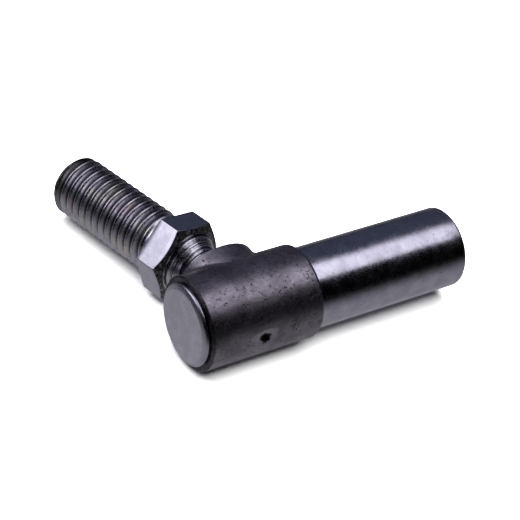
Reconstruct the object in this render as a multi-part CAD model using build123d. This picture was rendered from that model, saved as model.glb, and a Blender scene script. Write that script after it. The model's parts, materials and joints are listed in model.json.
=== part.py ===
from build123d import *
import math
import os

# Angle ball joint for a control rod or linkage, in millimetres.
# Frame: origin on the bar's axis at the mouth of its tapped hole.
# +X runs out of that mouth, +Y is the axis of the ball's bore and of the
# collar on the sleeve, +Z is up. The ball end is therefore at negative X.

# ---- bar: round, tapped at one end, cross-bored for the ball at the other
BAR_D = 12.7
BAR_LEN = 47.3            # tapped end face to plain end face
BALL_X = -37.3            # ball centre, measured from the tapped end face
NOSE_CHAM_R = 0.75        # plain end bevel: radial size
NOSE_CHAM_L = 0.42        # plain end bevel: axial size
TAIL_CHAM = 0.45          # tapped end bevel, 45 degrees
TAP_R = 4.25              # wall of the hole tapped M10 x 1.5 (minor diameter 8.5)
TAP_DEPTH = 23.0          # full diameter depth from the end face
TAP_MOUTH_R = 5.05        # countersink at the mouth
TAP_SINK_DEG = 120.0      # countersink's included angle
DRILL_POINT_DEG = 118.0

# ---- ball, bore and socket cup
BALL_R = 5.25
BALL_Y = 4.6              # ball centre above the bar's axis, towards the collar
BORE_R = 5.65             # cross bore in bar and collar
CUP_R = 5.60              # running fit in the bore
CUP_SOCKET_R = 5.29       # spherical socket, running clearance on the ball
CUP_FLOOR = 1.2           # metal under the ball
CUP_TOP_Y = 3.1           # rim of the cup, below the ball's equator
CUP_GAP = 0.03            # axial play under the cup

# ---- sleeve: drawn tube with a collar drawn out of its wall
SLEEVE_R = 7.25
SLEEVE_X0 = BALL_X - 9.0  # front edge
SLEEVE_X1 = BALL_X + 10.1 # rear edge
SLEEVE_FRONT_EDGE = 0.2
SLEEVE_REAR_ROUND = 0.55
COLLAR_R = 6.55
COLLAR_DX = 0.3           # collar's centre line is drawn slightly to the rear
COLLAR_TOP_Y = 8.1        # lip height on the sleeve's crest
COLLAR_CROWN_R = 22.0     # lip falls away to both sides with this radius
COLLAR_FILLET = 0.9
COLLAR_EDGE = 0.12
LIP_R = 4.75              # swaged lip, smaller than the ball
LIP_MOUTH_R = 5.15        # flare of the lip at its mouth

# ---- punch mark that locks sleeve and bar together, opposite the collar
STAKE_R = 0.95
STAKE_DEPTH = 0.95
STAKE_DISH_R = 1.75
STAKE_DISH_DEPTH = 0.07

# ---- ball stud, all one piece, built along +Z from the ball's centre
NECK_R = 3.5
NECK_FLARE_R = 1.8        # concave sweep from neck into the hexagon: radial size
NECK_FLARE_L = 3.2        # and its length along the stud
HEX_AF = 12.0
HEX_Z0 = 8.1
HEX_Z1 = 12.6
HEX_CHAM_R = 5.65         # circle of the chamfer on the ball-side face
HEX_CHAM_DEG = 30.0
THREAD_R = 4.9            # M10 x 1.5 outside radius
RELIEF_R = 4.45           # run-out next to the hexagon
RELIEF_L = 1.0
STUD_END_Z = 34.8
TIP_CHAM_L = 0.8
TIP_R = 4.15
HEX_ROLL = 11.8           # roll of the hexagon about the stud's axis

# ---- stud's attitude at rest, measured in the ball
SWING_FRONT = 13.05       # towards the plain end
SWING_DOWN = 2.95         # towards -Z


def axial(radius, x0, x1):
    """Solid cylinder on the bar's axis from x0 to x1."""
    return Pos((x0 + x1) / 2, 0, 0) * Rot(0, 90, 0) * Cylinder(radius, x1 - x0)


def cross(radius, y0, y1, dx=0.0):
    """Solid cylinder on the ball bore's axis from y0 to y1."""
    return Pos(BALL_X + dx, (y0 + y1) / 2, 0) * Rot(-90, 0, 0) * Cylinder(radius, y1 - y0)


def lathe_x(points):
    """Closed profile (x, radius) turned about the bar's axis."""
    face = make_face(Polyline(*[(x, r, 0) for x, r in points], close=True))
    return revolve(face, Axis.X, 360)


def lathe_bore(points):
    """Closed profile (radius, y) turned about the ball bore's axis."""
    face = make_face(Polyline(*[(BALL_X + r, y, 0) for r, y in points], close=True))
    return revolve(face, Axis((BALL_X, 0, 0), (0, 1, 0)), 360)


# ------------------------------------------------------------------ bar body
br = BAR_D / 2
bar = lathe_x([
    (-BAR_LEN, 0),
    (-BAR_LEN, br - NOSE_CHAM_R),
    (-BAR_LEN + NOSE_CHAM_L, br),
    (-TAIL_CHAM, br),
    (0, br - TAIL_CHAM),
    (0, 0),
])
point_len = TAP_R / math.tan(math.radians(DRILL_POINT_DEG / 2))
mouth = (TAP_MOUTH_R - TAP_R) / math.tan(math.radians(TAP_SINK_DEG / 2))
bar -= lathe_x([
    (0.3, 0),
    (0.3, TAP_MOUTH_R + 0.3 * math.tan(math.radians(TAP_SINK_DEG / 2))),
    (0, TAP_MOUTH_R),
    (-mouth, TAP_R),
    (-TAP_DEPTH, TAP_R),
    (-TAP_DEPTH - point_len, 0),
])
bore_floor = BALL_Y - CUP_SOCKET_R - CUP_FLOOR - CUP_GAP
bar -= cross(BORE_R, bore_floor, br + 2.0)
# pit under the punch mark
pit = lathe_bore([(0, -br - 1.0), (STAKE_R * 0.62, -br - 1.0), (STAKE_R * 0.62, -br + 0.02), (0, -br + 0.62)])
bar -= pit
bar.label = "bar_body"

# -------------------------------------------------------------------- sleeve
shell = lathe_x([
    (SLEEVE_X0, 0),
    (SLEEVE_X0, SLEEVE_R - SLEEVE_FRONT_EDGE),
    (SLEEVE_X0 + SLEEVE_FRONT_EDGE, SLEEVE_R),
    (SLEEVE_X1, SLEEVE_R),
    (SLEEVE_X1, 0),
])
rear = shell.edges().filter_by(GeomType.CIRCLE).filter_by(lambda e: abs(e.center().X - SLEEVE_X1) < 1e-3)
shell = fillet(rear, SLEEVE_REAR_ROUND)
# collar: cylinder on the bore's axis, its top crowned about the X direction
collar = cross(COLLAR_R, 0.0, COLLAR_TOP_Y + 1.0, COLLAR_DX)
crown = Pos(BALL_X, COLLAR_TOP_Y - COLLAR_CROWN_R, 0) * Rot(0, 90, 0) * Cylinder(COLLAR_CROWN_R, 40)
collar = collar & crown
if COLLAR_EDGE > 0:
    top_rim = [e for e in collar.edges() if e.center().Y > 5.5]
    collar = fillet(top_rim, COLLAR_EDGE)
body = shell + collar
seam = []
for e in body.edges():
    mid = e @ 0.5
    rad = math.hypot(mid.Y, mid.Z)
    from_bore = math.hypot(mid.X - BALL_X - COLLAR_DX, mid.Z)
    if abs(rad - SLEEVE_R) < 0.02 and abs(from_bore - COLLAR_R) < 0.02 and mid.Y > 0:
        seam.append(e)
for radius in (COLLAR_FILLET, 0.75, 0.6, 0.45, 0.3):
    try:
        blended = fillet(seam, radius)
        if blended.is_valid and blended.volume > body.volume:
            body = blended
            print("collar fillet", radius, "edges", len(seam))
            break
    except Exception as why:
        print("fillet", radius, "refused:", type(why).__name__)
# bar's bore, ball's bore, spherical lip and its mouth
body -= axial(br, SLEEVE_X0 - 1, SLEEVE_X1 + 1)
lip_y = BALL_Y + math.sqrt(CUP_SOCKET_R ** 2 - LIP_R ** 2)
body -= cross(BORE_R, 0.0, BALL_Y)
body -= Pos(BALL_X, BALL_Y, 0) * Sphere(CUP_SOCKET_R)
body -= lathe_bore([
    (0, BALL_Y), (BORE_R, BALL_Y - 0.01), (CUP_SOCKET_R, BALL_Y + 0.35), (0, BALL_Y + 0.35),
])
flare = LIP_MOUTH_R - LIP_R
body -= lathe_bore([
    (0, lip_y - 0.5), (LIP_R, lip_y - 0.5), (LIP_R, COLLAR_TOP_Y - 0.75 - flare),
    (LIP_MOUTH_R, COLLAR_TOP_Y - 0.75), (LIP_MOUTH_R + 0.9, COLLAR_TOP_Y + 0.9), (0, COLLAR_TOP_Y + 0.9),
])
# punch mark: shallow dish, then a cone; its metal fills the bar's pit
dish_h = STAKE_DISH_DEPTH
dish_sphere = (STAKE_DISH_R ** 2 + dish_h ** 2) / (2 * dish_h)
body += pit & axial(SLEEVE_R - 0.2, BALL_X - 3, BALL_X + 3)
body -= Pos(BALL_X, -SLEEVE_R - dish_sphere + dish_h + 0.16, 0) * Sphere(dish_sphere)
body -= lathe_bore([(0, -SLEEVE_R - 1.0), (STAKE_R * 2.05, -SLEEVE_R - 1.0), (0, -SLEEVE_R + STAKE_DEPTH)])
sleeve = body
sleeve.label = "collared_sleeve"

# ---------------------------------------------------------------- socket cup
cup_floor_y = bore_floor + CUP_GAP
cup = lathe_bore([
    (0, cup_floor_y), (CUP_R - 0.3, cup_floor_y), (CUP_R, cup_floor_y + 0.3),
    (CUP_R, CUP_TOP_Y - 0.1), (CUP_R - 0.1, CUP_TOP_Y), (0, CUP_TOP_Y),
])
cup -= Pos(BALL_X, BALL_Y, 0) * Sphere(CUP_SOCKET_R)
cup.label = "socket_cup"

# ----------------------------------------------------------------- ball stud
neck_join = math.sqrt(BALL_R ** 2 - NECK_R ** 2)
ball = Sphere(BALL_R)
neck_pts = [(0, neck_join - 1.5), (NECK_R, neck_join - 1.5), (NECK_R, HEX_Z0 - NECK_FLARE_L)]
steps = 8
for i in range(1, steps + 1):
    u = i / steps
    neck_pts.append((NECK_R + NECK_FLARE_R * u ** 1.5, HEX_Z0 - NECK_FLARE_L + NECK_FLARE_L * u))
neck_pts += [(NECK_R + NECK_FLARE_R, HEX_Z0 + 0.5), (0, HEX_Z0 + 0.5)]
neck_face = make_face(Polyline(*[(r, 0, z) for r, z in neck_pts], close=True))
neck = revolve(neck_face, Axis.Z, 360)
hex_prism = Pos(0, 0, HEX_Z0) * extrude(RegularPolygon(HEX_AF / 2, 6, major_radius=False), HEX_Z1 - HEX_Z0)
corner_r = HEX_AF / math.sqrt(3)
slope = math.tan(math.radians(HEX_CHAM_DEG))
cham = make_face(Polyline(
    (0, 0, HEX_Z0), (HEX_CHAM_R, 0, HEX_Z0),
    (corner_r + 1, 0, HEX_Z0 + (corner_r + 1 - HEX_CHAM_R) * slope),
    (corner_r + 1, 0, HEX_Z1), (0, 0, HEX_Z1), close=True))
hex_head = hex_prism & revolve(cham, Axis.Z, 360)
shank_face = make_face(Polyline(
    (0, 0, HEX_Z1 - 0.5), (RELIEF_R, 0, HEX_Z1 - 0.5), (RELIEF_R, 0, HEX_Z1 + RELIEF_L),
    (THREAD_R, 0, HEX_Z1 + RELIEF_L + (THREAD_R - RELIEF_R)),
    (THREAD_R, 0, STUD_END_Z - TIP_CHAM_L), (TIP_R, 0, STUD_END_Z), (0, 0, STUD_END_Z), close=True))
shank = revolve(shank_face, Axis.Z, 360)
stud = ball + neck + hex_head + shank
# attitude: local Z along the stud, local X towards the +X side
sx, sy, sz = -math.tan(math.radians(SWING_FRONT)), 1.0, -math.tan(math.radians(SWING_DOWN))
n = math.sqrt(sx * sx + sy * sy + sz * sz)
axis_dir = Vector(sx / n, sy / n, sz / n)
x_ref = Vector(1, 0, 0) - axis_dir * (Vector(1, 0, 0).dot(axis_dir))
roll = Rot(0, 0, HEX_ROLL)   # one corner this far round from local X
place = Plane(origin=(BALL_X, BALL_Y, 0), x_dir=x_ref.normalized(), z_dir=axis_dir).location
stud = place * roll * stud
stud.label = "ball_stud"

os.makedirs("parts", exist_ok=True)
for part in (bar, sleeve, cup, stud):
    solids = part.solids()
    print(part.label, "solids", len(solids), "volume", round(sum(s.volume for s in solids), 1))
    export_step(part, os.path.join("parts", part.label + ".step"))
whole = Compound(children=[bar, sleeve, cup, stud])
box = whole.bounding_box()
print("bounds", [round(v, 3) for v in (*box.min, *box.max)])
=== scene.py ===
import json
import math

import bmesh
import bpy
import numpy as np
from mathutils import Matrix, Vector


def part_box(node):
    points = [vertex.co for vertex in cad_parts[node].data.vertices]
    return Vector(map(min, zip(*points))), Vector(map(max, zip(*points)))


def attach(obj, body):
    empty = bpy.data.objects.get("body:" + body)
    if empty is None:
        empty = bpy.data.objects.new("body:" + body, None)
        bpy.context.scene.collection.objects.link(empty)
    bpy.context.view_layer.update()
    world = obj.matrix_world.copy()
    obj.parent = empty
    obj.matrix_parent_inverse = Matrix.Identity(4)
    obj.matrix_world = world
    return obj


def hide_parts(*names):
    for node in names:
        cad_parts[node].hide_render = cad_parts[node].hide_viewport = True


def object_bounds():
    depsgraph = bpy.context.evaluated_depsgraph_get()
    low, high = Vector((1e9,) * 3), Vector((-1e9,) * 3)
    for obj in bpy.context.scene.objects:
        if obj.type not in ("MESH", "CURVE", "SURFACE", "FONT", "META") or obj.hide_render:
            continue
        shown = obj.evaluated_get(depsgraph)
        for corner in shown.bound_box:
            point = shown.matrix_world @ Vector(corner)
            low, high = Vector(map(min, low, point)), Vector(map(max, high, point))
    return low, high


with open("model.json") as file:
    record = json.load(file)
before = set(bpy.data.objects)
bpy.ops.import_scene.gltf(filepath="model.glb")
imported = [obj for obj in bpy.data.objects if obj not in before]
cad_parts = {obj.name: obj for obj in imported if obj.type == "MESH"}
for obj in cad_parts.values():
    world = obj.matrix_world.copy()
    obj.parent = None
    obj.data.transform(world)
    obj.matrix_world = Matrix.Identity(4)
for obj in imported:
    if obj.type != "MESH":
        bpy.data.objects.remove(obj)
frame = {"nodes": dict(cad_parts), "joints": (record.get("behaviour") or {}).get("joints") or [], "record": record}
cad_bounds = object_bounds()
scene = bpy.context.scene
record = frame["record"]
MM = 0.001

# ------------------------------------------------------------- what the frame says
mounts = {m["name"]: m for m in record["mounts"]}
ball_c = np.array(frame["joints"][0]["pos_m"], float) / MM  # ball centre, mm
stud_s = np.array(mounts["stud_thread"]["axis"], float)
stud_s /= np.linalg.norm(stud_s)
bar_lo, bar_hi = (np.array(v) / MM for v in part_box("bar_body"))
sl_lo, sl_hi = (np.array(v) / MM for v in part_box("collared_sleeve"))

BAR_R = 6.35
NOSE_X = float(bar_lo[0])
SLEEVE_R = 7.25
SLEEVE_X0, SLEEVE_X1 = float(sl_lo[0]), float(sl_hi[0])
PITCH = 1.5


def smooth(t):
    t = np.clip(t, 0.0, 1.0)
    return t * t * (3 - 2 * t)


# ------------------------------------------------------------------- mesh helpers
class Shell:
    """Vertices and faces gathered in millimetres, then welded into one mesh."""

    def __init__(self):
        self.v, self.f, self.m, self.a = [], [], [], []
        self.n = 0

    def add(self, verts, faces, mat, attr=None):
        verts = np.asarray(verts, float).reshape(-1, 3)
        self.v.append(verts)
        self.a.append(np.zeros(len(verts)) if attr is None else np.asarray(attr, float).reshape(-1))
        for face in faces:
            self.f.append([i + self.n for i in face])
            self.m.append(mat)
        self.n += len(verts)

    def rings(self, pos, mat, attr=None):
        """pos is rows x N x 3; neighbouring rows are joined all the way round."""
        rows, n = pos.shape[:2]
        faces = []
        for i in range(rows - 1):
            for j in range(n):
                k = (j + 1) % n
                faces.append((i * n + j, i * n + k, (i + 1) * n + k, (i + 1) * n + j))
        self.add(pos, faces, mat, attr)

    def fan(self, centre, ring, mat):
        n = len(ring)
        self.add(np.vstack([[centre], ring]), [(0, 1 + j, 1 + (j + 1) % n) for j in range(n)], mat)

    def helix(self, place, theta, z0, z1, pitch, offsets, radius, mat, attr=None):
        """Rows that follow the thread. radius(z, offset) gives the surface, place(theta, r, z) the point."""
        n, k = len(theta), len(offsets)
        first = int(math.floor((z0 - pitch) / pitch)) - 1
        last = int(math.ceil(z1 / pitch)) + 1
        zr, off = [], []
        for turn in range(first, last + 1):
            for o in offsets:
                zr.append(turn * pitch + o)
                off.append(o)
        zr, off = np.array(zr), np.array(off)
        z = zr[:, None] + pitch * theta[None, :] / (2 * math.pi)
        z = np.clip(z, z0, z1)
        o = np.broadcast_to(off[:, None], z.shape)
        r, depth = radius(z, o, np.broadcast_to(theta[None, :], z.shape))
        pos = place(np.broadcast_to(theta[None, :], z.shape), r, z)
        rows = len(zr)
        faces = []
        for i in range(rows - 1):
            for j in range(n):
                if j < n - 1:
                    a, b, c, d = (i, j), (i, j + 1), (i + 1, j + 1), (i + 1, j)
                else:
                    if i + k + 1 >= rows:
                        continue
                    a, b, c, d = (i, j), (i + k, 0), (i + k + 1, 0), (i + 1, j)
                za = [z[p] for p in (a, b, c, d)]
                if max(za) - min(za) < 1e-9:
                    continue
                faces.append(tuple(p[0] * n + p[1] for p in (a, b, c, d)))
        self.add(pos, faces, mat, depth)

    def build(self, name, materials, sharp_deg=32.0):
        mesh = bpy.data.meshes.new(name)
        verts = np.vstack(self.v) * MM
        mesh.from_pydata(verts.tolist(), [], self.f)
        mesh.polygons.foreach_set("material_index", self.m)
        att = mesh.attributes.new("hollow", "FLOAT", "POINT")
        att.data.foreach_set("value", np.concatenate(self.a).astype(np.float32))
        bm = bmesh.new()
        bm.from_mesh(mesh)
        bmesh.ops.remove_doubles(bm, verts=bm.verts, dist=2e-7)
        bmesh.ops.dissolve_degenerate(bm, edges=bm.edges, dist=2e-8)
        loose = [v for v in bm.verts if not v.link_faces]
        bmesh.ops.delete(bm, geom=loose, context="VERTS")
        bmesh.ops.recalc_face_normals(bm, faces=bm.faces)
        bm.to_mesh(mesh)
        bm.free()
        for m in materials:
            mesh.materials.append(m)
        finish_shading(mesh, sharp_deg)
        obj = bpy.data.objects.new(name, mesh)
        scene.collection.objects.link(obj)
        return obj


def finish_shading(mesh, sharp_deg):
    mesh.polygons.foreach_set("use_smooth", [True] * len(mesh.polygons))
    mesh.set_sharp_from_angle(angle=math.radians(sharp_deg))
    mesh.update()


# --------------------------------------------------------------- material helpers
class Mat:
    def __init__(self, name):
        self.m = bpy.data.materials.new(name)
        self.m.use_nodes = True
        self.t = self.m.node_tree
        self.t.nodes.clear()
        self.out = self.t.nodes.new("ShaderNodeOutputMaterial")
        self.p = self.t.nodes.new("ShaderNodeBsdfPrincipled")
        self.t.links.new(self.p.outputs[0], self.out.inputs[0])
        self.tc = self.t.nodes.new("ShaderNodeTexCoord")

    def link(self, a, b):
        self.t.links.new(a, b)

    def set(self, **kw):
        for k, v in kw.items():
            self.p.inputs[k.replace("_", " ")].default_value = v

    def coords(self, scale=(1, 1, 1), rot=(0, 0, 0), loc=(0, 0, 0)):
        n = self.t.nodes.new("ShaderNodeMapping")
        n.inputs["Scale"].default_value = scale
        n.inputs["Rotation"].default_value = rot
        n.inputs["Location"].default_value = loc
        self.link(self.tc.outputs["Object"], n.inputs["Vector"])
        return n.outputs[0]

    def noise(self, scale, detail=3.0, rough=0.55, vec=None, distort=0.0):
        n = self.t.nodes.new("ShaderNodeTexNoise")
        n.inputs["Scale"].default_value = scale
        n.inputs["Detail"].default_value = detail
        n.inputs["Roughness"].default_value = rough
        n.inputs["Distortion"].default_value = distort
        self.link(vec if vec is not None else self.tc.outputs["Object"], n.inputs["Vector"])
        return n.outputs["Fac"]

    def voronoi(self, scale, feature="F1", vec=None, rand=1.0):
        n = self.t.nodes.new("ShaderNodeTexVoronoi")
        n.feature = feature
        n.inputs["Scale"].default_value = scale
        n.inputs["Randomness"].default_value = rand
        self.link(vec if vec is not None else self.tc.outputs["Object"], n.inputs["Vector"])
        return n.outputs["Distance"]

    def ramp(self, fac, lo, hi, a=0.0, b=1.0, soft=True):
        n = self.t.nodes.new("ShaderNodeMapRange")
        n.interpolation_type = "SMOOTHSTEP" if soft else "LINEAR"
        n.inputs["From Min"].default_value = lo
        n.inputs["From Max"].default_value = hi
        n.inputs["To Min"].default_value = a
        n.inputs["To Max"].default_value = b
        self.link(fac, n.inputs["Value"])
        return n.outputs["Result"]

    def math(self, op, a, b=None, c=None):
        n = self.t.nodes.new("ShaderNodeMath")
        n.operation = op
        for i, v in enumerate((a, b, c)):
            if v is None:
                continue
            if isinstance(v, (int, float)):
                n.inputs[i].default_value = v
            else:
                self.link(v, n.inputs[i])
        return n.outputs[0]

    def mix(self, fac, a, b, mode="MIX"):
        n = self.t.nodes.new("ShaderNodeMix")
        n.data_type = "RGBA"
        n.blend_type = mode
        if isinstance(fac, (int, float)):
            n.inputs[0].default_value = fac
        else:
            self.link(fac, n.inputs[0])
        for i, v in ((6, a), (7, b)):
            if isinstance(v, tuple):
                n.inputs[i].default_value = (*v, 1.0)
            else:
                self.link(v, n.inputs[i])
        return n.outputs[2]

    def sep(self, vec):
        n = self.t.nodes.new("ShaderNodeSeparateXYZ")
        self.link(vec, n.inputs[0])
        return n.outputs

    def bump(self, height, distance, normal=None, strength=1.0):
        n = self.t.nodes.new("ShaderNodeBump")
        n.inputs["Strength"].default_value = strength
        n.inputs["Distance"].default_value = distance
        self.link(height, n.inputs["Height"])
        if normal is not None:
            self.link(normal, n.inputs["Normal"])
        return n.outputs[0]

    def attr(self, name):
        n = self.t.nodes.new("ShaderNodeAttribute")
        n.attribute_name = name
        return n.outputs["Fac"]


def axis_distance(mt, origin_mm, direction):
    """Distance from a line, in millimetres, and the distance along it."""
    sub = mt.t.nodes.new("ShaderNodeVectorMath")
    sub.operation = "SUBTRACT"
    mt.link(mt.tc.outputs["Object"], sub.inputs[0])
    sub.inputs[1].default_value = [float(v) * MM for v in origin_mm]
    dot = mt.t.nodes.new("ShaderNodeVectorMath")
    dot.operation = "DOT_PRODUCT"
    mt.link(sub.outputs[0], dot.inputs[0])
    dot.inputs[1].default_value = [float(v) for v in direction]
    cr = mt.t.nodes.new("ShaderNodeVectorMath")
    cr.operation = "CROSS_PRODUCT"
    mt.link(sub.outputs[0], cr.inputs[0])
    cr.inputs[1].default_value = [float(v) for v in direction]
    ln = mt.t.nodes.new("ShaderNodeVectorMath")
    ln.operation = "LENGTH"
    mt.link(cr.outputs[0], ln.inputs[0])
    return mt.math("MULTIPLY", ln.outputs["Value"], 1000.0), mt.math("MULTIPLY", dot.outputs["Value"], 1000.0)


# ---------------------------------------------------------------------- materials
def zinc(name, tone=(0.66, 0.65, 0.70), low=(0.56, 0.56, 0.62), rough=(0.15, 0.25), bump=2.5e-6, specks=0.35):
    m = Mat(name)
    m.set(Metallic=1.0)
    mott = m.noise(420, 4, 0.6)
    col = m.mix(m.ramp(mott, 0.35, 0.68), low, tone)
    speck = m.ramp(m.noise(2300, 2, 0.6), 0.66, 0.76)
    col = m.mix(m.math("MULTIPLY", speck, specks), col, (0.10, 0.10, 0.12))
    m.link(col, m.p.inputs["Base Color"])
    fine = m.noise(3200, 5, 0.65)
    broad = m.noise(700, 3, 0.5)
    rr = m.ramp(m.math("ADD", m.math("MULTIPLY", fine, 0.5), m.math("MULTIPLY", broad, 0.5)), 0.35, 0.65, rough[0], rough[1])
    rr = m.math("ADD", rr, m.math("MULTIPLY", speck, 0.15))
    m.link(rr, m.p.inputs["Roughness"])
    n = m.bump(fine, bump)
    n = m.bump(broad, bump * 3.0, n)
    m.link(n, m.p.inputs["Normal"])
    return m


shank_zinc = zinc("shank_zinc", (0.71, 0.70, 0.75), (0.57, 0.57, 0.63), (0.16, 0.27), 7e-6, 0.62)
shank_x = shank_zinc.math("MULTIPLY", shank_zinc.sep(shank_zinc.tc.outputs["Object"])[0], 1000.0)
# painted shade: the shank is darkened in patches everywhere up to just past the sleeve's back edge, so the crease
# where it leaves the sleeve looks dark
shank_shade_near_sleeve = shank_zinc.math(
    "MULTIPLY",
    shank_zinc.ramp(shank_x, SLEEVE_X1 + 0.10, SLEEVE_X1 + 0.42, 1.0, 0.0),
    shank_zinc.ramp(shank_zinc.noise(900, 3, 0.6), 0.25, 0.55, 0.45, 0.9),
)
shank_base = shank_zinc.p.inputs["Base Color"].links[0].from_socket
shank_zinc.link(shank_zinc.mix(shank_shade_near_sleeve, shank_base, (0.035, 0.03, 0.03)), shank_zinc.p.inputs["Base Color"])
end_zinc = zinc("end_zinc", (0.64, 0.63, 0.67), (0.54, 0.53, 0.58), (0.22, 0.34), 2.5e-6, 0.25)


def nose_material():
    m = Mat("nose_faced")
    m.set(Metallic=1.0)
    r, _ = axis_distance(m, (0, 0, 0), (1, 0, 0))
    comb = m.t.nodes.new("ShaderNodeCombineXYZ")
    m.link(r, comb.inputs[0])
    rings = m.noise(5.5, 3, 0.6, comb.outputs[0])
    fine = m.noise(2600, 4, 0.6)
    col = m.mix(m.ramp(m.noise(500, 4, 0.6), 0.3, 0.7), (0.68, 0.68, 0.72), (0.82, 0.82, 0.86))
    col = m.mix(m.math("MULTIPLY", m.ramp(rings, 0.5, 0.75), 0.25), col, (0.85, 0.85, 0.88))
    m.link(col, m.p.inputs["Base Color"])
    m.link(m.ramp(fine, 0.3, 0.7, 0.34, 0.48), m.p.inputs["Roughness"])
    n = m.bump(rings, 6e-6)
    n = m.bump(fine, 4e-6, n)
    m.link(n, m.p.inputs["Normal"])
    return m


nose_mat = nose_material()


def bore_material():
    m = Mat("bore_dark")
    m.set(Metallic=1.0)
    fine = m.noise(1800, 4, 0.6)
    m.link(m.mix(m.ramp(fine, 0.3, 0.7), (0.30, 0.29, 0.30), (0.44, 0.43, 0.45)), m.p.inputs["Base Color"])
    m.link(m.ramp(fine, 0.3, 0.7, 0.30, 0.45), m.p.inputs["Roughness"])
    m.link(m.bump(fine, 3e-6), m.p.inputs["Normal"])
    return m


bore_mat = bore_material()


def sleeve_material():
    m = Mat("sleeve_satin")
    m.set(Metallic=1.0)
    mott = m.noise(240, 5, 0.68)
    col = m.mix(m.ramp(mott, 0.36, 0.66), (0.260, 0.236, 0.262), (0.420, 0.386, 0.425))
    # bright rubbed flecks
    bright = m.ramp(m.noise(1700, 4, 0.72), 0.585, 0.70)
    col = m.mix(m.math("MULTIPLY", bright, 0.50), col, (0.62, 0.585, 0.63))
    # stains and pits
    stain = m.ramp(m.noise(520, 6, 0.78, m.coords((1.0, 1.5, 1.5)), 0.5), 0.545, 0.67)
    col = m.mix(m.math("MULTIPLY", stain, 0.62), col, (0.045, 0.040, 0.045))
    pits = m.ramp(m.noise(2100, 2, 0.6), 0.615, 0.700)
    col = m.mix(m.math("MULTIPLY", pits, 0.72), col, (0.030, 0.026, 0.030))
    # fine scratches that run round and along
    scr = m.ramp(m.noise(900, 2, 0.5, m.coords((0.16, 2.6, 2.6), (0.0, 0.35, 0.25))), 0.665, 0.70)
    col = m.mix(m.math("MULTIPLY", scr, 0.16), col, (0.60, 0.58, 0.62))
    # painted shade in the creases at the front rim and the back edge, where the sleeve meets the bar, broken up in
    # patches
    x = m.math("MULTIPLY", m.sep(m.tc.outputs["Object"])[0], 1000.0)
    patchy = m.ramp(m.noise(800, 4, 0.6), 0.25, 0.6, 0.55, 1.0)
    front = m.math("MULTIPLY", m.ramp(x, SLEEVE_X0 + 0.10, SLEEVE_X0 + 0.42, 0.92, 0.0), patchy)
    back = m.math("MULTIPLY", m.ramp(x, SLEEVE_X1 - 0.40, SLEEVE_X1 - 0.08, 0.0, 0.85), patchy)
    col = m.mix(m.math("MAXIMUM", front, back), col, (0.030, 0.026, 0.028))
    # punch mark: ragged, with a lighter ring around it and painted shade in the pit
    pr, along = axis_distance(m, ball_c, (0, 1, 0))
    side = m.ramp(along, -11.0, -9.5, 1.0, 0.0)
    ragged = m.math("ADD", pr, m.ramp(m.noise(950, 4, 0.7), 0.25, 0.75, -0.55, 0.55, False))
    halo = m.math("MULTIPLY", m.ramp(ragged, 1.5, 2.1, 1.0, 0.0), side)
    col = m.mix(m.math("MULTIPLY", halo, 0.42), col, (0.56, 0.53, 0.56))
    # painted shade: the pit of the punch mark is darkened nearly to black
    dark = m.math("MULTIPLY", m.ramp(ragged, 0.72, 1.0, 1.0, 0.0), side)
    col = m.mix(m.math("MULTIPLY", dark, 0.96), col, (0.010, 0.009, 0.010))
    m.link(col, m.p.inputs["Base Color"])
    fine = m.noise(2000, 5, 0.72)
    rr = m.ramp(fine, 0.3, 0.7, 0.32, 0.45)
    rr = m.math("ADD", rr, m.math("MULTIPLY", pits, 0.2))
    m.link(rr, m.p.inputs["Roughness"])
    n = m.bump(fine, 1.8e-5)
    n = m.bump(m.noise(560, 3, 0.55), 3.4e-5, n)
    n = m.bump(m.math("MULTIPLY", pits, -1.0), 1.6e-5, n)
    n = m.bump(m.math("MULTIPLY", dark, -1.0), 6e-5, n)
    m.link(n, m.p.inputs["Normal"])
    return m


sleeve_mat = sleeve_material()


def thread_material():
    m = Mat("thread_zinc")
    m.set(Metallic=1.0)
    hollow = m.attr("hollow")
    mott = m.noise(380, 4, 0.6)
    tint = m.noise(230, 2, 0.5)
    col = m.mix(m.ramp(mott, 0.35, 0.68), (0.66, 0.66, 0.70), (0.86, 0.85, 0.90))
    col = m.mix(m.math("MULTIPLY", m.ramp(tint, 0.53, 0.66), 0.6), col, (0.98, 0.80, 0.83))
    col = m.mix(m.math("MULTIPLY", m.ramp(m.noise(260, 2, 0.5, m.coords(loc=(0.4, 0.2, 0.7))), 0.55, 0.66), 0.5), col, (0.92, 0.88, 0.72))
    grit = m.ramp(m.noise(1500, 4, 0.7), 0.585, 0.68)
    col = m.mix(m.math("MULTIPLY", grit, 0.45), col, (0.08, 0.08, 0.08))
    # painted shade: the thread roots are darkened nearly to black according to their depth
    col = m.mix(m.ramp(hollow, 0.42, 0.92, 0.0, 0.93), col, (0.035, 0.037, 0.045))
    _, along = axis_distance(m, ball_c, stud_s)
    tip = m.ramp(m.math("ADD", along, m.math("MULTIPLY", mott, 2.2)), 33.4, 35.4)
    col = m.mix(m.math("MULTIPLY", tip, 0.8), col, (0.11, 0.085, 0.065))
    m.link(col, m.p.inputs["Base Color"])
    fine = m.noise(2400, 5, 0.68)
    rr = m.ramp(fine, 0.3, 0.7, 0.20, 0.36)
    rr = m.math("ADD", rr, m.math("MULTIPLY", hollow, 0.10))
    m.link(rr, m.p.inputs["Roughness"])
    n = m.bump(fine, 8e-6)
    n = m.bump(m.noise(800, 3, 0.5), 1.4e-5, n)
    m.link(n, m.p.inputs["Normal"])
    return m


thread_mat = thread_material()
hex_mat = zinc("hex_zinc", (0.66, 0.655, 0.70), (0.60, 0.60, 0.65), (0.17, 0.26), 2.5e-6, 0.2)


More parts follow.
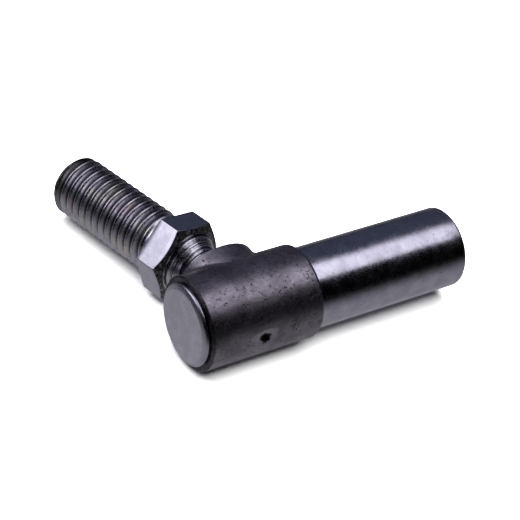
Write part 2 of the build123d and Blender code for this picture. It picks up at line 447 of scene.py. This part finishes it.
def turned_material():
    m = Mat("turned_rough")
    m.set(Metallic=1.0)
    r, along = axis_distance(m, ball_c, stud_s)
    comb = m.t.nodes.new("ShaderNodeCombineXYZ")
    m.link(r, comb.inputs[0])
    rings = m.noise(6.0, 2, 0.6, comb.outputs[0])
    grit = m.noise(1700, 5, 0.78, None, 0.4)
    coarse = m.noise(520, 3, 0.6)
    col = m.mix(m.ramp(grit, 0.44, 0.60), (0.040, 0.043, 0.036), (0.50, 0.51, 0.47))
    col = m.mix(m.math("MULTIPLY", m.ramp(coarse, 0.42, 0.60), 0.55), col, (0.075, 0.080, 0.068))
    col = m.mix(m.math("MULTIPLY", m.ramp(rings, 0.52, 0.72), 0.30), col, (0.46, 0.46, 0.45))
    m.link(col, m.p.inputs["Base Color"])
    m.link(m.ramp(grit, 0.3, 0.7, 0.34, 0.58), m.p.inputs["Roughness"])
    n = m.bump(rings, 2.4e-5)
    n = m.bump(grit, 6.0e-5, n)
    m.link(n, m.p.inputs["Normal"])
    return m


turned_mat = turned_material()


def neck_material():
    m = Mat("neck_turned")
    m.set(Metallic=1.0)
    _, along = axis_distance(m, ball_c, stud_s)
    comb = m.t.nodes.new("ShaderNodeCombineXYZ")
    m.link(along, comb.inputs[0])
    wob = m.math("MULTIPLY", m.noise(420, 3, 0.6), 0.35)
    m.link(wob, comb.inputs[1])
    rings = m.noise(3.6, 4, 0.7, comb.outputs[0])
    grit = m.noise(1700, 4, 0.7)
    col = m.mix(m.ramp(rings, 0.44, 0.56), (0.05, 0.05, 0.055), (0.86, 0.85, 0.90))
    col = m.mix(m.math("MULTIPLY", m.ramp(grit, 0.56, 0.66), 0.6), col, (0.05, 0.05, 0.05))
    m.link(col, m.p.inputs["Base Color"])
    m.link(m.ramp(grit, 0.3, 0.7, 0.16, 0.34), m.p.inputs["Roughness"])
    n = m.bump(rings, 4.0e-5)
    n = m.bump(grit, 1.2e-5, n)
    m.link(n, m.p.inputs["Normal"])
    return m


neck_mat = neck_material()


def ball_material():
    m = Mat("ball_polished")
    m.set(Metallic=1.0)
    fine = m.noise(1500, 4, 0.6)
    m.link(m.mix(m.ramp(fine, 0.3, 0.7), (0.40, 0.39, 0.40), (0.52, 0.51, 0.52)), m.p.inputs["Base Color"])
    m.link(m.ramp(fine, 0.3, 0.7, 0.16, 0.26), m.p.inputs["Roughness"])
    m.link(m.bump(fine, 1.5e-6), m.p.inputs["Normal"])
    return m


ball_mat = ball_material()

# ------------------------------------------------------------------ the ball stud
BALL_R = 5.25
NECK_R, FLARE_R, FLARE_L = 3.5, 1.8, 3.2
HEX_AF, HEX_Z0, HEX_Z1 = 12.0, 8.1, 12.6
HEX_CHAM_R, HEX_TAN = 5.65, math.tan(math.radians(30.0))
HEX_CORNER = 0.16
RELIEF_R = 4.45
MAJOR_R, MINOR_R = 4.94, 4.10
END_Z, TIP_L, TIP_R = 34.8, 0.8, 4.15
HEX_ROLL = 11.8

half = [0.0, 0.22, 0.45, 0.7, 1.0, 1.8, 3.2, 5.0] + list(np.linspace(7.6, 30.0, 10))
sector = half + [60.0 - d for d in reversed(half[1:-1])]
theta = np.radians(np.array([60.0 * k + d for k in range(6) for d in sector]))
NT = len(theta)

x_ref = np.array([1.0, 0, 0]) - stud_s * stud_s[0]
x_ref /= np.linalg.norm(x_ref)
y_ref = np.cross(stud_s, x_ref)
roll = math.radians(HEX_ROLL)
ex = math.cos(roll) * x_ref + math.sin(roll) * y_ref
ey = np.cross(stud_s, ex)


def stud_place(th, r, z):
    th, r, z = (np.asarray(q, float) for q in np.broadcast_arrays(th, r, z))
    return (
        ball_c
        + (r * np.cos(th))[..., None] * ex
        + (r * np.sin(th))[..., None] * ey
        + z[..., None] * stud_s
    )


def hex_radius(th, grow=0.0):
    deg = np.degrees(th) % 60.0
    from_corner = np.minimum(deg, 60.0 - deg)
    phi = np.radians(30.0 - from_corner)
    flat = HEX_AF / 2 / np.cos(phi)
    dc = (HEX_AF / 2 - HEX_CORNER) / math.cos(math.radians(30))
    tangent = math.degrees(math.atan2(HEX_CORNER * 0.5, dc + HEX_CORNER * math.cos(math.radians(30))))
    d = np.radians(np.minimum(from_corner, tangent))
    arc = dc * np.cos(d) + np.sqrt(np.maximum(HEX_CORNER ** 2 - (dc * np.sin(d)) ** 2, 0))
    return np.where(from_corner < tangent, arc, flat)


M_BALL, M_NECK, M_FACE, M_HEX, M_THREAD = range(5)
stud = Shell()
ones = np.ones(NT)
# ball
join = math.sqrt(BALL_R ** 2 - NECK_R ** 2)
lat = np.linspace(math.pi - math.radians(4), math.acos(join / BALL_R), 24)
ball_rows = np.array([stud_place(theta, BALL_R * math.sin(t), BALL_R * math.cos(t)) for t in lat])
stud.rings(ball_rows, M_BALL)
stud.fan(stud_place(0, 0, -BALL_R), ball_rows[0], M_BALL)
# neck with the grooves the turning tool left
rng = np.random.default_rng(7)
zs = np.arange(join, HEX_Z0 - FLARE_L, 0.085)
groove = rng.uniform(-1, 1, len(zs))
groove = 0.6 * groove + 0.4 * np.convolve(groove, np.ones(3) / 3, mode="same")
groove *= smooth((zs - join) / 0.5)
profile = [(NECK_R + 0.022 * g, z) for g, z in zip(groove, zs)]
profile[0] = (NECK_R, join)
fl_rows = 46
knots = np.cumsum(rng.uniform(0.10, 0.34, 40))
depth = rng.uniform(-1, 1, 40)
depth[::2] = -np.abs(depth[::2])
flare_g = np.interp(np.linspace(0, FLARE_L * 1.25, fl_rows + 1), knots, depth)
for i in range(fl_rows + 1):
    u = i / fl_rows
    slope = 1.5 * FLARE_R / FLARE_L * math.sqrt(u)
    unit = 1 / math.hypot(1, slope)
    g = 0.042 * flare_g[i] * min(1.0, u * 6) * (1 - u ** 6)
    profile.append((NECK_R + FLARE_R * u ** 1.5 + g * unit, HEX_Z0 - FLARE_L + FLARE_L * u - g * slope * unit))
neck_rows = np.array([stud_place(theta, r, z) for r, z in profile])
stud.rings(neck_rows, M_NECK)
# ball-side face of the hexagon, turned, with a slight ridge pattern
fr = np.linspace(NECK_R + FLARE_R, HEX_CHAM_R - 0.05, 4)
face_rows = [stud_place(theta, fr[0], profile[-1][1])]
ridge = rng.uniform(-1, 1, len(fr))
for r, g in zip(fr[1:], ridge[1:]):
    face_rows.append(stud_place(theta, r, HEX_Z0 + 0.012 * g))
stud.rings(np.array(face_rows), M_FACE)
# chamfer, flats, far face
hexr = hex_radius(theta)
zc = HEX_Z0 + (hexr - HEX_CHAM_R) * HEX_TAN
e = 0.05
rows = [face_rows[-1], stud_place(theta, HEX_CHAM_R + 0.04, HEX_Z0 + 0.03)]
for q in np.linspace(0.12, 1.0, 7)[:-1]:
    r = HEX_CHAM_R + (hexr - e - HEX_CHAM_R) * q
    rows.append(stud_place(theta, r, HEX_Z0 + (r - HEX_CHAM_R) * HEX_TAN))
rc = hexr - e
rows.append(stud_place(theta, rc, HEX_Z0 + (rc - HEX_CHAM_R) * HEX_TAN))
stud.rings(np.array(rows), M_FACE)
rows2 = [rows[-1], stud_place(theta, hexr - 0.012, zc + 0.012), stud_place(theta, hexr, zc + e)]
for q in np.linspace(0, 1, 6)[1:]:
    rows2.append(stud_place(theta, hexr, zc + e + (HEX_Z1 - e - zc - e) * q))
rows2.append(stud_place(theta, hexr - 0.014, HEX_Z1 - 0.014))
rows2.append(stud_place(theta, hexr - e, HEX_Z1))
stud.rings(np.array(rows2), M_HEX)
rows3 = [rows2[-1]]
for q in np.linspace(0, 1, 7)[1:]:
    rows3.append(stud_place(theta, (hexr - e) * (1 - q) + (RELIEF_R + 0.25) * q, HEX_Z1))
for t in np.linspace(0, math.pi / 2, 5)[1:]:
    rows3.append(stud_place(theta, RELIEF_R + 0.25 - 0.25 * math.sin(t), HEX_Z1 + 0.25 * (1 - math.cos(t))))
stud.rings(np.array(rows3), M_HEX)
# thread
SHAPE_X = np.array([0.0, 0.07, 0.14, 0.22, 0.31, 0.41, 0.52, 0.62, 0.75])
SHAPE_Y = np.array([1.0, 0.980, 0.922, 0.805, 0.625, 0.400, 0.165, 0.035, 0.0])
OFFS = np.concatenate([-SHAPE_X[:0:-1], SHAPE_X[:-1]])
Z_RUN0 = HEX_Z1 + 0.25


def ext_radius(z, off, th):
    level = np.interp(np.abs(off), SHAPE_X, SHAPE_Y)
    grow = smooth((z - 13.4) / 2.3)
    blank = RELIEF_R + 0.05 * smooth((z - Z_RUN0) / 0.6)
    r = blank + ((MINOR_R + (MAJOR_R - MINOR_R) * level) - blank) * grow
    r = np.where(z <= Z_RUN0 + 1e-9, RELIEF_R, r)
    # tip: rounded chamfer that cuts the thread
    back = np.clip(END_Z - z, 0, None)
    cone = TIP_R + (MAJOR_R + 0.12 - TIP_R) * np.clip(back / 1.15, 0, 1) ** 0.72
    r = np.where(back < 1.15, np.minimum(r, cone), r)
    r = np.where(z >= END_Z - 1e-9, TIP_R, r)
    return r, (1 - level) * grow


stud.helix(stud_place, theta, Z_RUN0, END_Z, PITCH, OFFS, ext_radius, M_THREAD)
tip_rows = [stud_place(theta, TIP_R, END_Z)]
for r, z in ((TIP_R - 0.12, END_Z + 0.0), (3.2, END_Z), (2.2, END_Z), (1.2, END_Z)):
    tip_rows.append(stud_place(theta, r, z - 0.0))
stud.rings(np.array(tip_rows), M_THREAD)
stud.fan(stud_place(0, 0, END_Z), tip_rows[-1], M_THREAD)
stud_obj = stud.build("ball_stud_finished", [ball_mat.m, neck_mat.m, turned_mat.m, hex_mat.m, thread_mat.m], 34)
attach(stud_obj, "stud")
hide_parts("ball_stud")

# ----------------------------------------------------------------------- the bar
NB = 192
tb = np.linspace(0, 2 * math.pi, NB, endpoint=False)


def bar_place(th, r, x):
    th, r, x = (np.asarray(q, float) for q in np.broadcast_arrays(th, r, x))
    return np.stack([x, r * np.cos(th), -r * np.sin(th)], axis=-1)


def in_place(th, r, z):
    return bar_place(th, r, -np.asarray(z))


B_SHANK, B_NOSE, B_END, B_BORE = range(4)
bar = Shell()
nose = [(0.6, 0.0), (1.6, 0.0), (2.8, 0.0), (4.0, 0.005), (5.0, 0.015), (5.35, 0.025), (5.52, 0.04), (5.60, 0.06), (5.66, 0.095)]
nr = [bar_place(tb, r, NOSE_X + dx) for r, dx in nose]
bar.rings(np.array(nr), B_NOSE)
bar.fan(bar_place(0, 0, NOSE_X), nr[0], B_NOSE)
bev = [(5.66, 0.095), (5.80, 0.15), (6.0, 0.24), (6.15, 0.32), (6.25, 0.40), (6.32, 0.50), (6.345, 0.60), (6.35, 0.72)]
bar.rings(np.array([bar_place(tb, r, NOSE_X + dx) for r, dx in bev]), B_END)
xs = [NOSE_X + 0.72, SLEEVE_X0, -44.5, -40.0, -35.0, -30.0, SLEEVE_X1, -22.0, -17.0, -12.0, -7.0, -3.0, -0.62]
bar.rings(np.array([bar_place(tb, BAR_R, x) for x in xs]), B_SHANK)
tail = [(6.35, -0.62), (6.342, -0.52), (6.315, -0.42), (6.10, -0.18), (5.98, -0.07), (5.90, -0.02), (5.80, 0.0), (5.40, 0.0), (5.12, 0.0), (5.05, 0.0)]
bar.rings(np.array([bar_place(tb, r, x) for r, x in tail]), B_END)
TH_END, DEEP = 20.5, 23.0


def int_radius(z, off, th):
    level = np.interp(np.abs(off), SHAPE_X, SHAPE_Y)
    fade = smooth((TH_END - z) / 2.0)
    r = 4.25 + (5.02 - 4.25) * (level * fade)
    cone = 5.05 - z * math.tan(math.radians(60))
    r = np.maximum(r, cone)
    r = np.where(z <= 1e-9, 5.05, r)
    r = np.where(z >= TH_END - 1e-9, 4.25, r)
    return r, level * fade


bar.helix(in_place, tb, 0.0, TH_END, PITCH, OFFS, int_radius, B_BORE)
bar.rings(np.array([in_place(tb, 4.25, z) for z in (TH_END, 21.5, DEEP)]), B_BORE)
tipz = DEEP + 4.25 / math.tan(math.radians(59))
dr = [in_place(tb, 4.25 * (1 - q), DEEP + (tipz - DEEP) * q) for q in (0.0, 0.33, 0.66, 0.9)]
bar.rings(np.array(dr), B_BORE)
bar.fan(in_place(0, 0, tipz), dr[-1], B_BORE)
bar_obj = bar.build("bar_finished", [shank_zinc.m, nose_mat.m, end_zinc.m, bore_mat.m], 34)

# cross bore for the ball, cut with a fine cylinder
cut = Shell()
nc = 128
tc = np.linspace(0, 2 * math.pi, nc, endpoint=False)


def cross_place(th, r, y):
    th, r, y = (np.asarray(q, float) for q in np.broadcast_arrays(th, r, y))
    return np.stack([ball_c[0] + r * np.cos(th), y, r * np.sin(th)], axis=-1)


floor_y = ball_c[1] - 5.29 - 1.2 - 0.03
cr = [cross_place(tc, 5.65, floor_y), cross_place(tc, 5.65, 9.0)]
cut.rings(np.array(cr), 0)
cut.fan(cross_place(0, 0, floor_y), cr[0], 0)
cut.fan(cross_place(0, 0, 9.0), cr[1], 0)
cut_obj = cut.build("bore_cutter", [bore_mat.m], 34)
mod = bar_obj.modifiers.new("cross_bore", "BOOLEAN")
mod.operation = "DIFFERENCE"
mod.object = cut_obj
mod.solver = "EXACT"
bpy.context.view_layer.update()
deps = bpy.context.evaluated_depsgraph_get()
cut_mesh = bpy.data.meshes.new_from_object(bar_obj.evaluated_get(deps), depsgraph=deps)
bar_obj.modifiers.clear()
bar_obj.data = cut_mesh
bpy.data.objects.remove(cut_obj)
finish_shading(bar_obj.data, 34)
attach(bar_obj, "housing")
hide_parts("bar_body")

# -------------------------------------------------------- sleeve and hidden cup
sleeve = frame["nodes"]["collared_sleeve"]
sleeve.data.materials.clear()
sleeve.data.materials.append(sleeve_mat.m)
cup = frame["nodes"]["socket_cup"]
cup.data.materials.clear()
cup.data.materials.append(bore_mat.m)

# ---------------------------------------------------------------------- the stage
floor_z = min(cad_bounds[0][2], cad_bounds[1][2])
fm = bpy.data.meshes.new("floor")
S = 3.0
fm.from_pydata([(-S, -S, floor_z), (S, -S, floor_z), (S, S, floor_z), (-S, S, floor_z)], [], [(0, 1, 2, 3)])
floor = bpy.data.objects.new("floor", fm)
scene.collection.objects.link(floor)
fmat = Mat("floor_pale")
fmat.set(Base_Color=(0.93, 0.93, 0.93, 1), Roughness=1.0)
fmat.p.inputs["Specular IOR Level"].default_value = 0.0
fm.materials.append(fmat.m)
floor.visible_glossy = False

# soft studio light: a broad panel that lights the floor
panel = bpy.data.lights.new("panel", "AREA")
panel.shape = "RECTANGLE"
panel.size, panel.size_y = 1.6, 1.6
panel.energy = 62.0
panel_obj = bpy.data.objects.new("panel", panel)
panel_obj.location = (0.0, 0.0, 1.1)
panel_obj.visible_glossy = False
panel_obj.visible_camera = False
scene.collection.objects.link(panel_obj)

# surroundings: dark room with soft panels, pale below the horizon
world = bpy.data.worlds.new("studio")
scene.world = world
world.use_nodes = True
wt = world.node_tree
wt.nodes.clear()


def wn(kind, **kw):
    n = wt.nodes.new(kind)
    for k, v in kw.items():
        setattr(n, k, v)
    return n


def wmath(op, a, b=None, clamp=False):
    n = wn("ShaderNodeMath", operation=op, use_clamp=clamp)
    for i, v in enumerate((a, b)):
        if v is None:
            continue
        if isinstance(v, (int, float)):
            n.inputs[i].default_value = v
        else:
            wt.links.new(v, n.inputs[i])
    return n.outputs[0]


def wramp(v, lo, hi, a=0.0, b=1.0):
    n = wn("ShaderNodeMapRange", interpolation_type="SMOOTHSTEP")
    for k, x in (("From Min", lo), ("From Max", hi), ("To Min", a), ("To Max", b)):
        n.inputs[k].default_value = x
    wt.links.new(v, n.inputs["Value"])
    return n.outputs["Result"]


wtc = wn("ShaderNodeTexCoord")
wsep = wn("ShaderNodeSeparateXYZ")
wt.links.new(wtc.outputs["Generated"], wsep.inputs[0])
dx, dy, dz = wsep.outputs
zp = wmath("MAXIMUM", dz, 0.04)
gx, gy = wmath("DIVIDE", dx, zp), wmath("DIVIDE", dy, zp)
up = wramp(dz, 0.03, 0.12)


def window(x0, x1, y0, y1, sx=0.15, sy0=0.1, sy1=0.2):
    a = wmath("MULTIPLY", wramp(gx, x0 - sx, x0 + sx), wramp(gx, x1 - sx, x1 + sx, 1.0, 0.0))
    b = wmath("MULTIPLY", wramp(gy, y0 - sy0, y0 + sy0), wramp(gy, y1 - sy1, y1 + sy1, 1.0, 0.0))
    return wmath("MULTIPLY", wmath("MULTIPLY", a, b), up)


def wcolor(rgb, k):
    """rgb times the value k, as a colour."""
    n = wn("ShaderNodeVectorMath", operation="SCALE")
    n.inputs[0].default_value = rgb
    wt.links.new(k, n.inputs["Scale"])
    return n.outputs[0]


def wadd(a, b):
    n = wn("ShaderNodeVectorMath", operation="ADD")
    wt.links.new(a, n.inputs[0])
    wt.links.new(b, n.inputs[1])
    return n.outputs[0]


layers = [
    wcolor((1.20, 1.16, 1.34), window(0.10, 0.84, -0.63, 0.20, 0.13, 0.09, 0.20)),
    wcolor((1.62, 1.57, 1.80), window(-1.72, -0.50, 0.20, 1.62, 0.12, 0.15, 0.3)),
    wcolor((0.62, 0.60, 0.68), window(-0.55, 0.10, -0.2, 0.72, 0.12, 0.2, 0.15)),
    # bluish gloom behind, near black in front
    wcolor((0.045, 0.052, 0.082), wmath("MULTIPLY", wramp(dy, -0.2, 0.3), wramp(dz, -0.05, 0.1))),
    wcolor((0.26, 0.255, 0.285), wramp(wmath("MULTIPLY", dz, -1.0), -0.02, 0.62)),
    wcolor((0.05, 0.05, 0.06), wmath("MULTIPLY", wramp(dy, -0.2, 0.3), wramp(wmath("MULTIPLY", dz, -1.0), -0.1, 0.2))),
]
total = layers[0]
for extra in layers[1:]:
    total = wadd(total, extra)
bg = wn("ShaderNodeBackground")
wt.links.new(total, bg.inputs["Color"])
bg.inputs["Strength"].default_value = 1.0
pale = wn("ShaderNodeBackground")
pale.inputs["Color"].default_value = (1.0, 1.0, 1.0, 1)
lp = wn("ShaderNodeLightPath")
mixs = wn("ShaderNodeMixShader")
wt.links.new(lp.outputs["Is Camera Ray"], mixs.inputs[0])
wt.links.new(bg.outputs[0], mixs.inputs[1])
wt.links.new(pale.outputs[0], mixs.inputs[2])
wo = wn("ShaderNodeOutputWorld")
wt.links.new(mixs.outputs[0], wo.inputs[0])

# --------------------------------------------------------------------- the camera
cam = bpy.data.cameras.new("camera")
cam.sensor_width = 36.0
cam.lens = 122.25
cam.clip_start, cam.clip_end = 0.01, 20.0
cam_obj = bpy.data.objects.new("camera", cam)
right = Vector((0.8448, -0.5202, 0.1252)).normalized()
fwd = Vector((0.4729, 0.6165, -0.6295)).normalized()
upv = right.cross(fwd).normalized()
cam_obj.matrix_world = Matrix((
    (right.x, upv.x, -fwd.x, -0.1564),
    (right.y, upv.y, -fwd.y, -0.1579),
    (right.z, upv.z, -fwd.z, 0.1698),
    (0, 0, 0, 1),
))
scene.collection.objects.link(cam_obj)
scene.camera = cam_obj
scene.view_settings.view_transform = "Standard"
scene.view_settings.look = "None"

# ------------------------------------------------------------------------- finish
bpy.context.view_layer.update()
for o in (stud_obj, bar_obj, sleeve):
    print("PIECE", o.name, "tris", sum(len(p.vertices) - 2 for p in o.data.polygons))
